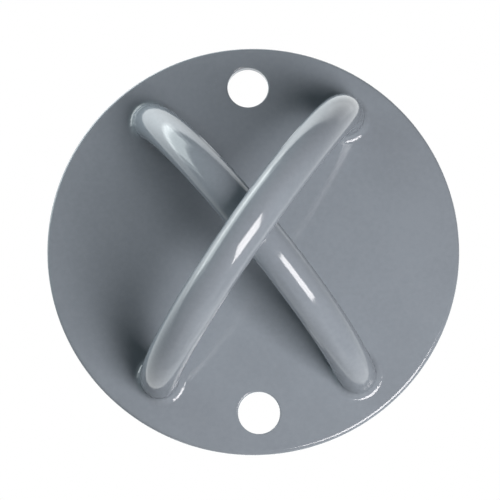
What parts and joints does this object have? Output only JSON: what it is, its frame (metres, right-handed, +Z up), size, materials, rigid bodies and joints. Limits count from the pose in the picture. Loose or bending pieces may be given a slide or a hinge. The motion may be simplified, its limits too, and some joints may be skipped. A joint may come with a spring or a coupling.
{
  "type": "wall swing anchor",
  "caption": "Round steel wall plate with crossed arches of bent round bar, for hooking a carabiner, and bolt holes above and below them.",
  "frame": {"origin": "centre of the plate's rear face, which lies flat on the wall", "axes": "+Z up the wall along the line of the two bolt holes, +Y into the wall, +X to the right as seen from the room; the body is at negative Y"},
  "size_m": [0.12, 0.0546, 0.12],
  "materials": {
    "grey_coat": "gloss grey powder coat on steel"
  },
  "bodies": {
    "root": {"base_plate": "grey_coat", "outer_arch": "grey_coat", "inner_arch": "grey_coat", "front_weld_upper_right": "grey_coat", "front_weld_lower_left": "grey_coat", "front_weld_upper_left": "grey_coat", "front_weld_lower_right": "grey_coat", "rear_weld_upper_right": "grey_coat", "rear_weld_lower_left": "grey_coat", "rear_weld_upper_left": "grey_coat", "rear_weld_lower_right": "grey_coat"}
  },
  "joints": []
}
